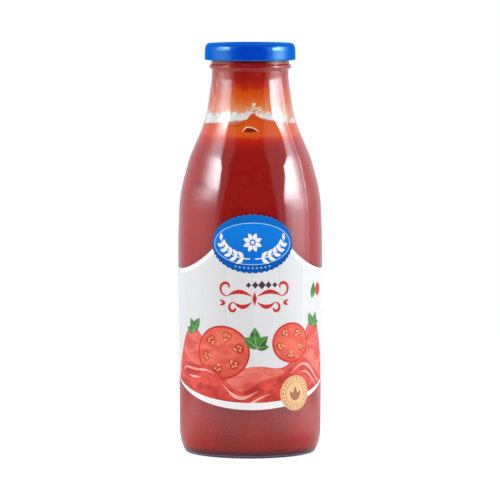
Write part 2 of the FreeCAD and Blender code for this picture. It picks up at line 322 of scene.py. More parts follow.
# ---- material helpers ----
class Shade:
    """A small helper to build a material's nodes in few words."""

    def __init__(self, name):
        self.material = bpy.data.materials.new(name)
        self.material.use_nodes = True
        self.tree = self.material.node_tree
        self.tree.nodes.clear()
        self.output = self.tree.nodes.new("ShaderNodeOutputMaterial")

    @classmethod
    def on(cls, tree):
        """The same for a world's nodes."""
        made = cls.__new__(cls)
        made.tree = tree
        made.output = tree.nodes.new("ShaderNodeOutputWorld")
        return made

    def node(self, kind, inputs=None, **settings):
        made = self.tree.nodes.new("ShaderNode" + kind)
        for key, value in settings.items():
            setattr(made, key, value)
        for key, value in (inputs or {}).items():
            self.put(made.inputs[key], value)
        return made

    def put(self, socket, value):
        if isinstance(value, bpy.types.NodeSocket):
            self.tree.links.new(value, socket)
        elif isinstance(value, bpy.types.Node):
            self.tree.links.new(value.outputs[0], socket)
        elif isinstance(value, tuple) and len(value) == 3 and socket.type == "RGBA":
            socket.default_value = (*value, 1.0)
        else:
            socket.default_value = value

    def surface(self, shader):
        self.put(self.output.inputs["Surface"], shader)
        return self.material

    def principled(self, **inputs):
        names = {key.replace("_", " "): value for key, value in inputs.items()}
        return self.node("BsdfPrincipled", names).outputs[0]

    def finish(self, **inputs):
        return self.surface(self.principled(**inputs))

    # numbers
    def math(self, operation, *values):
        return self.node("Math", dict(enumerate(values)), operation=operation).outputs[0]

    def plus(self, a, b):
        return self.math("ADD", a, b)

    def minus(self, a, b):
        return self.math("SUBTRACT", a, b)

    def times(self, first, *others):
        for other in others:
            first = self.math("MULTIPLY", first, other)
        return first

    def larger(self, a, b):
        return self.math("MAXIMUM", a, b)

    def size(self, value):
        return self.math("ABSOLUTE", value)

    def swing(self, value, reach):
        """A noise's value as one that swings round 0, over reach from end to end."""
        return self.times(self.minus(value, 0.5), reach)

    def between(self, share, a, b):
        return self.node("Mix", {0: share, 2: a, 3: b}).outputs[0]

    def share(self, low, high, value, kind="LINEAR"):
        """0 to 1 as value goes from low to high."""
        return self.node("MapRange", {0: value, 1: low, 2: high}, interpolation_type=kind).outputs[0]

    def rise(self, low, high, value):
        """The same, with soft ends."""
        return self.share(low, high, value, "SMOOTHSTEP")

    def profile(self, value, stops, low=0, high=180):
        """A number that follows (value, result) stops, and is flat beyond them from low to high."""
        if stops[0][0] > low:
            stops = [(low, stops[0][1])] + stops
        if stops[-1][0] < high:
            stops = stops + [(high, stops[-1][1])]
        greys = [((place - low) / (high - low), (result,) * 3) for place, result in stops]
        return self.ramp(self.share(float(low), float(high), value), greys)

    def rays(self, kind, other=None):
        """1 for rays of this kind, or of the other kind too, else 0."""
        paths = self.node("LightPath").outputs
        found = paths[f"Is {kind} Ray"]
        return self.larger(found, paths[f"Is {other} Ray"]) if other else found

    # colours
    def mix(self, share, a, b, blend="MIX"):
        return self.node("MixRGB", {0: share, 1: a, 2: b}, blend_type=blend).outputs[0]

    def ramp(self, share, stops):
        made = self.node("ValToRGB", {0: share})
        elements = made.color_ramp.elements
        elements[0].position, elements[1].position = stops[0][0], stops[-1][0]
        elements[0].color, elements[1].color = (*stops[0][1], 1), (*stops[-1][1], 1)
        for place, colour in stops[1:-1]:
            elements.new(place).color = (*colour, 1)
        return made.outputs[0]

    # places and patterns
    def axis(self, name):
        """The object coordinate X, Y or Z, in metres."""
        return self.node("SeparateXYZ", {0: self.node("TexCoord").outputs["Object"]}).outputs[name]

    def place(self, stretch=(1, 1, 1)):
        """Object coordinates in metres, stretched."""
        return self.stretched(self.node("TexCoord").outputs["Object"], stretch)

    def stretched(self, place, stretch):
        return self.node("Mapping", {"Vector": place, "Scale": stretch}).outputs[0]

    def uv(self, name):
        return self.node("UVMap", uv_map=name).outputs[0]

    def noise(self, scale, detail, roughness, place, distortion=0.0):
        return self.node("TexNoise", {"Vector": place, "Scale": scale, "Detail": detail,
                                      "Roughness": roughness, "Distortion": distortion}).outputs[0]

    def bump(self, height, strength, distance):
        return self.node("Bump", {"Height": height, "Strength": strength, "Distance": distance}).outputs[0]


# ---- materials ----
def glass_material():
    """Clear glass with a faint ripple. Shadow and diffuse rays pass straight through it."""
    s = Shade("clear_glass")
    ripple = s.noise(45.0, 2.0, 0.4, s.place())
    glass = s.node("BsdfGlass", {"Color": (0.985, 0.992, 0.99), "Roughness": 0.0, "IOR": 1.5,
                                 "Normal": s.bump(ripple, 0.06, 0.0012)})
    clear = s.node("BsdfTransparent", {"Color": (0.96, 0.97, 0.97)})
    return s.surface(s.node("MixShader", {0: s.rays("Shadow", "Diffuse"), 1: glass, 2: clear}))


def pulp_material():
    """Deep red with streaks. It is lighter towards the sides, which is painted light, and orange at the
    top, which is painted light shining through the thin pulp there.
    """
    s = Shade("tomato_pulp")
    streaks = s.noise(1.0, 4.0, 0.55, s.place((60, 60, 14)))
    grain = s.noise(520.0, 4.0, 0.6, s.place())
    level = s.plus(s.axis("Z"), s.swing(s.noise(70.0, 3.0, 0.5, s.place()), 0.0035))
    deep = s.ramp(streaks, [(0.30, (0.26, 0.0030, 0.0022)), (0.52, (0.295, 0.0035, 0.0027)),
                            (0.70, (0.34, 0.007, 0.0037))])
    # painted light: the red is lighter towards both sides, as if more light falls there
    deep = s.mix(s.rise(12 * MM, 29 * MM, s.size(s.axis("X"))), deep, (0.38, 0.0035, 0.0027))
    orange = s.ramp(streaks, [(0.3, (0.62, 0.052, 0.002)), (0.7, (0.74, 0.115, 0.006))])
    # painted light: above ORANGE_Z the pulp turns orange, as if light shone through it from behind
    top = s.share((ORANGE_Z - 6.0) * MM, (ORANGE_Z + 2.0) * MM, level)
    colour = s.mix(s.rise(0.0, 0.72, top), deep, (0.52, 0.012, 0.003))
    colour = s.mix(s.rise(0.62, 1.0, top), colour, orange)
    colour = s.mix(s.times(s.rise(0.56, 0.74, grain), 0.22), colour, (0.58, 0.06, 0.02))
    return s.finish(
        Base_Color=colour, Roughness=0.5, Specular_IOR_Level=0.08,
        Sheen_Weight=1.0, Sheen_Roughness=0.5, Sheen_Tint=(1.0, 0.12, 0.08, 1.0),
        Normal=s.bump(grain, 0.25, 0.0006))


def film_material():
    """What clings to the inside of the neck: under the cap dark red going near black, which is painted
    shadow of the cap, lower down orange, which is painted light shining through the film from behind, then
    a pale ragged edge, and below that only a milky haze. Towards the sides it is paler, which is painted
    light, and pale smears there are partly the film's own and partly a painted highlight."""
    s = Shade("pulp_film")
    height = s.axis("Z")
    patches = s.noise(150.0, 4.0, 0.6, s.place())
    crumble = s.noise(420.0, 5.0, 0.65, s.place())
    runs = s.noise(1.0, 3.0, 0.55, s.place((190, 190, 40)))
    up = s.share(169.0 * MM, 199.0 * MM, s.plus(height, s.swing(runs, 0.009)))
    # painted light and shade: orange low down where light would shine through the film from behind, dark
    # red higher up in the shade of the cap
    body = s.ramp(up, [
        (0.0, (0.80, 0.36, 0.20)), (0.09, (0.78, 0.26, 0.11)), (0.18, (0.74, 0.16, 0.035)),
        (0.26, (0.72, 0.105, 0.008)), (0.38, (0.66, 0.070, 0.004)), (0.44, (0.54, 0.024, 0.003)),
        (0.55, (0.40, 0.010, 0.005)), (0.68, (0.34, 0.007, 0.006)), (1.0, (0.33, 0.007, 0.007))])
    body = s.mix(s.times(s.rise(0.55, 0.75, patches), 0.3), body, (0.78, 0.17, 0.06))
    body = s.mix(s.times(s.rise(0.45, 0.25, patches), 0.35), body, (0.42, 0.02, 0.006))
    # painted light: the film is paler towards both sides
    painted_side_light = s.rise(6 * MM, 13 * MM, s.size(s.axis("X")))
    smears = s.rise(0.47, 0.62, s.noise(1.0, 5.0, 0.7, s.place((240, 240, 110)), 0.6))
    low = s.rise(193.0 * MM, 187.0 * MM, height)
    body = s.mix(s.times(painted_side_light, 0.35), body, (0.50, 0.07, 0.03))
    # painted highlight over the film's own smears: pale smears shown only at the sides of the lower neck
    body = s.mix(s.times(painted_side_light, smears, low, 0.32), body, (0.80, 0.52, 0.48))
    # painted shadow: near black just under the cap, where the cap shades the neck
    body = s.mix(s.rise(194.3 * MM, 195.6 * MM, height), body, (0.045, 0.002, 0.004))
    above = s.node("SeparateXYZ", {0: s.uv("film")}).outputs["Y"]
    ragged = s.plus(s.times(above, 10.0), s.plus(s.swing(crumble, 9.0), s.swing(patches, 4.0)))
    haze = s.ramp(patches, [(0.35, (0.88, 0.80, 0.80)), (0.60, (0.95, 0.95, 0.97))])
    solid = s.principled(
        Base_Color=s.mix(s.rise(-0.5, 1.4, ragged), haze, body), Roughness=0.5,
        Specular_IOR_Level=0.08, Normal=s.bump(patches, 0.3, 0.0008))
    clear = s.node("BsdfTransparent", {"Color": (0.995, 0.99, 0.99)})
    cover = s.larger(s.rise(-0.9, 0.9, ragged), s.times(patches, 0.26))
    return s.surface(s.node("MixShader", {0: cover, 1: clear, 2: solid}))


def plain_material(name, colour, roughness, grain):
    """An even colour with a faint mottle and a little tooth."""
    s = Shade(name)
    mottle = s.noise(240.0, 4.0, 0.6, s.place())
    darker = tuple(c * (1 - grain) for c in colour)
    return s.finish(
        Base_Color=s.mix(s.rise(0.35, 0.65, mottle), darker, colour), Roughness=roughness,
        Specular_IOR_Level=0.25, Normal=s.bump(mottle, 0.08, 0.0002))


def art_material(name, dark, light, roughness):
    """A painted area: the colour drifts in soft strokes between a dark and a light tone."""
    s = Shade(name)
    strokes = s.noise(1.0, 3.0, 0.55, s.stretched(s.uv("paper"), (9, 16, 1)), 0.8)
    fine = s.noise(260.0, 3.0, 0.6, s.place())
    share = s.plus(s.rise(0.34, 0.68, strokes), s.swing(fine, 0.25))
    return s.finish(
        Base_Color=s.mix(s.larger(s.math("MINIMUM", share, 1.0), 0.0), dark, light),
        Roughness=roughness, Specular_IOR_Level=0.35, Normal=s.bump(fine, 0.06, 0.0002))


def shaded_blue(name, low, high):
    """The badge's blue, deeper towards the bottom."""
    s = Shade(name)
    mottle = s.noise(240.0, 4.0, 0.6, s.place())
    level = s.plus(s.axis("Z"), s.swing(mottle, 0.004))
    up = s.rise((BADGE_Z - BADGE_HALF_H) * MM, (BADGE_Z + BADGE_HALF_H) * MM, level)
    return s.finish(
        Base_Color=s.mix(up, low, high), Roughness=0.45, Specular_IOR_Level=0.08,
        Normal=s.bump(mottle, 0.08, 0.0002))


def cap_material():
    """Blue lacquer over steel. The bottom edge of the skirt is darker, which is painted shade where the
    curl faces down, and the lacquer mirrors less edge-on.
    """
    s = Shade("blue_lacquer")
    tone = s.mix(s.noise(30.0, 2.0, 0.5, s.place()), (0.0, 0.009, 0.55), (0.0, 0.014, 0.58))
    # painted shade: darker lacquer along the bottom of the skirt, where the curled edge faces down
    painted_rim_shade = s.rise((CAP_LOW.z + 0.75) * MM, (CAP_LOW.z + 0.25) * MM, s.axis("Z"))
    tone = s.mix(s.times(painted_rim_shade, 0.75), tone, (0.004, 0.045, 0.22))
    peel = s.noise(900.0, 2.0, 0.5, s.place())
    facing = s.node("LayerWeight", {"Blend": 0.5}).outputs["Facing"]
    coat = s.node("MapRange", {0: facing, 1: 0.22, 2: 0.50, 3: 1.0, 4: 0.04})
    shader = s.principled(
        Base_Color=tone, Roughness=0.5, Specular_IOR_Level=0.0,
        Sheen_Weight=0.22, Sheen_Roughness=0.6, Sheen_Tint=(0.0, 0.85, 0.9, 1.0),
        Coat_Weight=coat, Coat_IOR=1.4, Coat_Roughness=0.05, Normal=s.bump(peel, 0.05, 0.0003))
    metal = s.node("BsdfAnisotropic", {"Color": (0.03, 0.90, 0.30), "Roughness": 0.38})
    return s.surface(s.node("MixShader", {0: 0.07, 1: shader, 2: metal}))


def paper_material():
    """Pale wooden boards as a backdrop, printed on satin paper."""
    s = Shade("label_paper")
    across = s.node("SeparateXYZ", {0: s.uv("paper")}).outputs["X"]
    along = s.times(across, 100.0 / BOARD_W)
    gap = s.rise(0.022, 0.004, s.minus(0.5, s.size(s.minus(s.math("FRACT", along), 0.5))))
    tone = s.node("TexWhiteNoise", {"W": s.math("FLOOR", along)}, noise_dimensions="1D").outputs[0]
    grain = s.noise(1.0, 4.0, 0.6, s.stretched(s.uv("paper"), (260, 12, 1)))
    bright = s.plus(s.plus(0.90, s.times(tone, 0.07)), s.swing(grain, 0.07))
    bright = s.minus(bright, s.times(gap, 0.09))
    colour = s.mix(1.0, (0.80, 0.80, 0.82), bright, "MULTIPLY")
    return s.finish(Base_Color=colour, Roughness=0.42, Specular_IOR_Level=0.3)


# ---- the glass ----
def outside_corners():
    heel = [(HEEL_CORNER_R, 0.0, 1.6), (HEEL_R - 0.7, HEEL_Z - 5.1, 18.0), (HEEL_R, HEEL_Z, 25.0)]
    return heel + SHOULDER + [(NECK_R, NECK_Z, 12.0)]


def inside_corners():
    mouth = [(BORE_R, LIP_Z - 1.0, 0.0), (BORE_R, BEAD_Z - 2.4, 6.0),
             (NECK_R - NECK_WALL, NECK_Z - 0.8, 12.0)]
    sides = [(r - WALL, z, rounding) for r, z, rounding in reversed(SHOULDER)]
    punt = BASE_GLASS + PUNT_HEIGHT
    heel = [(HEEL_R - WALL, 9.0, 8.0), (HEEL_R - WALL - 1.0, BASE_GLASS + 0.2, 3.5)]
    return mouth + sides + heel + [(22.0, BASE_GLASS, 8.0), (14.0, punt - 0.6, 12.0), (0.0, punt, 0.0)]


outside = rounded([(BEARING_R_IN, 0.0, 0.0)] + outside_corners() + [(NECK_R, 190.0, 0.0)])
inside = rounded(inside_corners())
outside_radius = radius_along([p for p in outside if p[1] > 0.5])
inside_radius = radius_along([p for p in inside if p[0] > HEEL_R - WALL - 2.0 or p[1] > 20.0])


def build_bottle():
    """The jar's glass, with a knurled bearing ring, two mould seams and a parting line."""
    finish = [
        (NECK_R, BEAD_Z - BEAD_HALF - 0.5, 0.5), (BEAD_R, BEAD_Z - BEAD_HALF / 2, 0.75),
        (BEAD_R, BEAD_Z + BEAD_HALF / 2, 0.75), (FINISH_R, BEAD_Z + BEAD_HALF + 0.3, 0.5),
        (FINISH_R, LIP_Z, 0.9), (BORE_R, LIP_Z, 0.9)]
    underside = [(0.0, PUNT_HEIGHT, 0.0), (12.0, PUNT_HEIGHT - 0.3, 14.0),
                 (BEARING_R_IN - 2.0, 0.9, 4.0), (BEARING_R_IN, 0.0, 0.0)]
    outline = rounded(underside + outside_corners() + finish + inside_corners(), 2.5, 2.0)
    inner_from = outline.index(max(outline, key=lambda p: p[1]))
    inner = set(outline[inner_from:])
    parting_z = NECK_Z + 2.6

    def change(angle, r, z):
        if (r, z) in inner:
            return r, z
        if r < HEEL_CORNER_R and z < 1.0:          # knurled bearing ring
            if r > BEARING_R_IN - 0.5:
                z += 0.12 * (0.5 - 0.5 * cos(90 * angle))
            return r, z
        for seam in (SEAM_ANGLE, SEAM_ANGLE - pi):
            off = (angle - seam) * r
            if abs(off) < 2.0:
                r += 0.09 * exp(-(off / 0.28) ** 2)
        r += 0.11 * exp(-((z - parting_z) / 0.3) ** 2) * (z < BEAD_Z - 1.9)
        if 20.0 < z < 185.0:
            r += 0.035 * wobble(sin(angle) * 2.2, cos(angle) * 2.2, z * 0.03)
        return r, z

    fine = [0.006, 0.012, 0.02, 0.03]
    angles = ring_angles(270, (SEAM_ANGLE, SEAM_ANGLE - pi), fine)
    glass = revolve("glass_bottle", outline, angles, change, 60.0)
    dress(glass, glass_material(), ["bottle"])


def heel_shade_material():
    s = Shade("heel_edge")
    mottle = s.noise(1.0, 3.0, 0.6, s.place((50, 50, 500)))
    level = s.plus(s.axis("Z"), s.swing(mottle, 0.0010))
    # painted shade: dark bluish bands, with a pale painted reflection line between them
    tone = s.ramp(s.share(0.5 * MM, 2.5 * MM, level), [
        (0.0, (0.10, 0.065, 0.14)), (0.28, (0.12, 0.085, 0.15)), (0.42, (0.27, 0.20, 0.27)),
        (0.58, (0.030, 0.010, 0.034)), (1.0, (0.030, 0.006, 0.018))])
    return s.finish(Base_Color=tone, Roughness=0.5, Specular_IOR_Level=0.1)


def build_heel_edge():
    """The thick glass of the foot, as an opaque ring with painted shade and a painted reflection line,
    standing in for how the glass looks dark and bluish edge-on.
    """
    outer = [(outside_radius(z) - 0.3, z) for z in (0.5, 0.8, 1.2, 1.6, 2.0, 2.4)]
    inner = [(r - 0.5, z) for r, z in reversed(outer)]
    edge = revolve("heel_edge", outer + inner, ring_angles(180), None, 60.0, True)
    dress(edge, heel_shade_material(), ["bottle"])


# ---- the pulp ----
def pulp_level(x, y):
    """Height of the pulp's uneven top."""
    swell = 0.35 * sin(0.11 * x + 0.6) * cos(0.09 * y - 0.4)
    front = smoothstep(-3.0, -13.0, y)
    rise = 3.0 * front * exp(-((x - 2.5) / (8.0 if x < 2.5 else 10.5)) ** 2)
    far = hypot((x - 0.7) / (1.6 if x < 0.7 else 3.3), (y + 19.0) / 3.2)
    mound = 2.7 * exp(-far * far)
    lumps = 0.40 * wobble(x, y, 3.0, 0.28) + 0.35 * wobble(x, y, 9.0, 0.9) + 0.22 * wobble(x, y, 5.0, 2.6)
    return FILL_Z + swell + rise + mound + lumps


def build_pulp():
    """A closed solid: up the inside of the glass to an uneven rim, then inwards over the top."""
    floor = [(r, z) for r, z in inside if z < 20.0][::-1]
    wall_from = floor[-1][1]
    angles = ring_angles(360)
    wall_rows, top_rows = 80, 26
    verts = [(0.0, 0.0, floor[0][1] - INTO_WALL)]
    rings = [[0]]

    def add_ring(points):
        rings.append(range(len(verts), len(verts) + len(points)))
        verts.extend(points)

    for r, z in floor[1:]:
        add_ring([around(a, r + INTO_WALL * (r > 28), z - INTO_WALL) for a in angles])
    rim = []
    for a in angles:
        z = FILL_Z
        for _ in range(3):
            z = pulp_level(*around(a, inside_radius(z), 0)[:2])
        rim.append(z)
    for k in range(1, wall_rows + 1):
        heights = [wall_from + (top - wall_from) * k / wall_rows for top in rim]
        add_ring([around(a, inside_radius(z) + INTO_WALL, z) for a, z in zip(angles, heights)])
    for k in range(1, top_rows):
        share = 1 - k / top_rows
        places = [around(a, inside_radius(top) * share, 0)[:2] for a, top in zip(angles, rim)]
        add_ring([(x, y, pulp_level(x, y)) for x, y in places])
    add_ring([(0.0, 0.0, pulp_level(0, 0))])
    pulp = make_object("pulp_body", verts, bridge(rings), 60.0)
    dress(pulp, pulp_material(), ["pulp"])


def film_edge(angle):
    """Height of the ragged lower edge of the film inside the neck. Right of the front it reaches
    down to the pulp, and over the mound it is highest."""
    x, y = sin(angle), cos(angle)
    ragged = 0.5 * wobble(x, y, 1.0, 2.6) + 0.6 * wobble(x, y, 2.0, 9.0) + 0.6 * wobble(x, y, 5.0, 30.0)
    fringe = 0.7 * wobble(x, y, 7.0, 75.0) + 0.5 * wobble(x, y, 9.0, 150.0)
    over_mound = 2.3 * exp(-((angle - 0.07) / 0.12) ** 2)
    on_right = 4.5 * smoothstep(0.75, 1.1, angle) * smoothstep(2.4, 1.9, angle)
    return 169.4 + ragged + fringe + over_mound - on_right


def build_film():
    """What the pulp left on the inside of the neck when the jar was turned over. The map called
    film holds the height over the film's edge, in centimetres."""
    angles = ring_angles(480)
    rows, top = 60, LIP_Z - 1.6
    feet = [pulp_level(*around(a, inside_radius(FILL_Z), 0)[:2]) - 0.15 for a in angles]
    verts, rings = [], []
    for depth in (0.05, -0.17):
        for k in range(rows + 1):
            rings.append(range(len(verts), len(verts) + len(angles)))
            for a, foot in zip(angles, feet):
                z = foot + (top - foot) * k / rows
                verts.append(around(a, inside_radius(z) + depth, z))
    faces = bridge(rings[:rows + 1] + rings[:rows:-1], True)
    film = make_object("neck_film", verts, faces, 60.0)
    uv = film.data.uv_layers.new(name="film")
    edges = [film_edge(a) for a in angles]
    for loop in film.data.loops:
        i = loop.vertex_index % len(angles)
        above = verts[loop.vertex_index][2] - edges[i]
        uv.data[loop.index].uv = (angles[i] / (2 * pi), above / 10.0)
    dress(film, film_material())


POCKET = [(-3.3, 160.9), (-2.2, 160.6), (0.0, 160.5), (2.0, 160.6), (3.2, 160.9), (2.4, 161.6),
          (1.3, 162.15), (0.0, 162.45), (-1.4, 162.4), (-2.2, 161.7)]
CRACK = ([(-9.6, 163.7), (-7.8, 163.35), (-6.2, 163.3), (-4.8, 163.8), (-3.4, 164.7), (-1.9, 165.7)],
         [0.12, 0.28, 0.36, 0.30, 0.24, 0.1])
POCKET_RIM = ([(-4.1, 160.8), (-3.3, 161.2), (-2.6, 162.2), (-1.9, 162.95), (-0.4, 163.05), (1.2, 162.7),
               (2.5, 162.0), (3.5, 161.3), (4.3, 160.9)],
              [0.1, 0.35, 0.5, 0.6, 0.5, 0.55, 0.6, 0.45, 0.1])


def build_wall_marks():
    """An air pocket pressed against the glass at the front, the crack beside it, and small crumbs."""
    dark = plain_material("pulp_pocket", (0.24, 0.006, 0.006), 0.5, 0.3)
    pocket = [(POCKET, 0.0, 0.05), (ribbon(*CRACK), 0.0, 0.05)]
    print_piece("pulp_pocket", pocket, dark, in_glass)
    pale = plain_material("pulp_rim", (0.92, 0.72, 0.52), 0.45, 0.3)
    print_piece("pulp_rim", [(ribbon(*POCKET_RIM), 0.0, 0.08)], pale, in_glass)

    dice = random.Random(11)
    crumbs, flecks = [], []
    for k in range(190):
        angle = dice.uniform(-pi, pi)
        z = film_edge(angle) + dice.gauss(0.2, 1.2)
        size = dice.uniform(0.16, 0.42)
        if k % 3 == 0:                             # every third one gathers over the mound
            angle = dice.gauss(0.18, 0.12)
            z = film_edge(angle) + dice.uniform(-0.8, 2.8)
            size = dice.uniform(0.18, 0.44)
        spot = ellipse(angle * inside_radius(z), z, size * dice.uniform(1.0, 1.7), size, 9)
        (crumbs if dice.random() < 0.5 else flecks).append((spot, 0.0, 0.07))
    orange = plain_material("pulp_crumb", (0.95, 0.46, 0.22), 0.5, 0.3)
    print_piece("pulp_crumbs", crumbs, orange, in_glass)
    cream = plain_material("pulp_fleck", (0.98, 0.86, 0.66), 0.5, 0.2)
    print_piece("pulp_flecks", flecks, cream, in_glass)


# ---- the cap ----
def build_cap():
    """The pressed cap, as a bent sheet whose middle follows a path, and the sealing compound in it."""
    top = CAP_HIGH.z - STEEL / 2
    bottom = CAP_LOW.z + STEEL / 2
    skirt = (CAP_HIGH.x - CAP_LOW.x) / 2 - STEEL / 2
    curl_r = skirt - 1.75
    panel = top - 0.9
    path = rounded([
        (0.0, panel - 0.55, 0.0), (9.0, panel - 0.55, 1.2), (10.6, panel, 1.2), (16.0, panel, 0.8),
        (17.1, top, 0.8), (20.8, top - 0.10, 1.7), (22.0, top - 1.10, 2.4),
        (skirt - 0.10, top - 3.1, 5.0), (skirt - 0.04, bottom + 2.0, 2.0), (skirt, bottom + 1.0, 1.2),
        (skirt, bottom, 0.45), (curl_r, bottom, 0.75), (curl_r, bottom + 1.9, 0.0),
    ], 4.0, 1.2)
    sheet = ribbon(path, [STEEL] * len(path))[::-1]
    shell = revolve("cap_shell", sheet, ring_angles(180), None, 50.0)
    dress(shell, cap_material(), ["cap"])

    inner, outer, low, high = BORE_R - 0.2, FINISH_R + 0.5, LIP_Z - 0.02, top - 0.1
    bead = rounded([
        (inner, LIP_Z + 0.5, 0.0), (inner, low, 0.3), (outer, low, 0.3), (outer, high, 0.0),
        (BORE_R + 0.3, high, 0.0), (inner, LIP_Z + 0.5, 0.0)], 15.0, 2.0)
    compound = revolve("cap_seal", bead, ring_angles(120))
    dress(compound, plain_material("sealing_compound", (0.75, 0.74, 0.70), 0.6, 0.1))


# ---- the label ----
def on_glass(along, z, lift):
    """A point that stands lift over the glass, at a place on the label."""
    return around((along + LABEL_TURN) / BODY_R, outside_radius(z) + lift, z)


def in_glass(along, z, lift):
    """The same on the inside of the glass, in front of the pulp."""
    radius = inside_radius(z)
    return around(along / radius, radius + INTO_WALL + lift, z)


def sticker(shapes, surface):
    """Vertices, faces and flat places of thin closed solids from (outline, base, top) shapes.

    Each outline is a list of (along, z) points. It is cut into strips so that it can bend.
    """
    verts, faces, flats = [], [], []
    for outline, base, top in shapes:
        bm = bmesh.new()
        bm.faces.new([bm.verts.new((a, z, 0)) for a, z in outline])
        for axis, pitch, normal in ((0, STRIP_W, (1, 0, 0)), (1, STRIP_H, (0, 1, 0))):
            places = [p[axis] for p in outline]
            first = ceil((min(places) + 0.01) / pitch)
            last = int((max(places) - 0.01) // pitch)
            for k in range(first, last + 1):
                bmesh.ops.bisect_plane(
                    bm, geom=bm.verts[:] + bm.edges[:] + bm.faces[:],
                    plane_co=Vector(normal) * (k * pitch), plane_no=normal, dist=1e-5)
        bmesh.ops.triangulate(bm, faces=bm.faces[:])
        bmesh.ops.recalc_face_normals(bm, faces=bm.faces[:])
        bm.normal_update()
        way = 1 if bm.faces[:][0].normal.z > 0 else -1
        bm.verts.index_update()
        start, count = len(verts), len(bm.verts)
        for lift in (base, top):
            for v in bm.verts:
                verts.append(surface(v.co.x, v.co.y, lift))
                flats.append((v.co.x, v.co.y))
        for face in bm.faces:
            ids = [start + v.index for v in face.verts][::way]
            faces += [[count + i for i in ids], ids[::-1]]
        for edge in bm.edges:
            if len(edge.link_faces) == 1:
                loop = next(l for l in edge.link_faces[0].loops if l.edge == edge)
                a, b = (start + l.vert.index for l in (loop, loop.link_loop_next)[::way])
                faces.append([a, b, count + b, count + a])
        bm.free()
    return verts, faces, flats


def print_piece(name, shapes, material, surface=on_glass, replaces=()):
    """One printed colour, as one object."""
    verts, faces, flats = sticker(shapes, surface)
    piece = make_object(name, verts, faces, 50.0)
    uv = piece.data.uv_layers.new(name="paper")
    for loop in piece.data.loops:
        a, z = flats[loop.vertex_index]
        uv.data[loop.index].uv = (a / 100, z / 100)
    return dress(piece, material, replaces)


def layer(number):
    """Base and top of a printed layer, over the glass."""
    return PAPER + INK * (number - 1) - 0.004, PAPER + INK * number


def bottom_edge(along):
    return LABEL_BOTTOM_Z + LABEL_BOTTOM_ARC - sqrt(LABEL_BOTTOM_ARC ** 2 - along ** 2)


def border_edge(along):
    """Upper edge of the white border that runs along the rounded bottom."""
    arc = 128.0
    return LABEL_BOTTOM_Z + 3.5 + arc - sqrt(arc ** 2 - along ** 2)


def swoop(along, inset=0.0):
    """Height of the label's top edge beside the badge."""
    reach = SWOOP_START - abs(along)
    arc = SWOOP_ARC + inset
    return LABEL_HIGH_Z + SWOOP_ARC - sqrt(arc ** 2 - max(0.0, reach) ** 2)


def span(low, high, count):
    return [low + (high - low) * i / count for i in range(count + 1)]


def ellipse(along, z, half_w, half_h, count, wave=0.0, waves=0):
    points = []
    for i in range(count):
        t = 2 * pi * i / count
        grow = wave * abs(sin(waves * t / 2))
        points.append(polar(along, z, t, half_w + grow, half_h + grow))
    return points


def ring(along, z, half_w, half_h, width, count=64):
    """A closed line as two half rings, so that each is a plain outline."""
    halves = []
    for start in (0.0, pi):
        angles = [start + pi * i / (count // 2) for i in range(count // 2 + 1)]
        halves.append([polar(along, z, t, half_w - inset, half_h - inset)
                       for inset, way in ((0, angles), (width, angles[::-1])) for t in way])
    return halves


def leaf(along, z, length, width, turn, bend=0.0, count=12):
    """A pointed leaf from its stalk's end, in the direction turn."""
    sides = []
    for side in (1, -1):
        points = []
        for i in range(count + 1):
            t = i / count
            half = side * width / 2 * sin(pi * t ** 0.85) ** 0.9
            points.append(turned(along, z, length * t, half + bend * sin(pi * t), turn))
        sides.append(points)
    return sides[0][:-1] + sides[1][:0:-1]


def mirrored(outline, middle=0.0):
    return [(2 * middle - a, z) for a, z in reversed(outline)]


def build_paper():
    """The die-cut wrap itself, with its glued overlap at the back."""
    lap = 3.0
    left = -HALF_ROUND - LABEL_TURN - lap
    right = HALF_ROUND - LABEL_TURN + lap
    outline = [(left, LABEL_LOW_Z)]
    outline += [(a, max(bottom_edge(a), LABEL_BOTTOM_Z)) for a in span(-49.5, 49.5, 44)]
    outline += [(right, LABEL_LOW_Z), (right, LABEL_HIGH_Z)]
    outline += [(a, swoop(a)) for a in span(SWOOP_START, SWOOP_END, 16)]
    outline += [(a, swoop(a)) for a in span(-SWOOP_END, -SWOOP_START, 16)]
    outline += [(left, LABEL_HIGH_Z)]

    def wrapped(along, z, lift):
        over = PAPER * smoothstep(right - 2 * lap - 1.5, right - 2 * lap, along)
        return on_glass(along, z, lift + over)

    shapes = [(outline, 0.0, PAPER)]
    print_piece("label_paper", shapes, paper_material(), wrapped, ["label"])


def printed(name, number, outlines, ink):
    """A piece whose outlines all lie in one printed layer."""
    print_piece(name, [(outline, *layer(number)) for outline in outlines], ink)


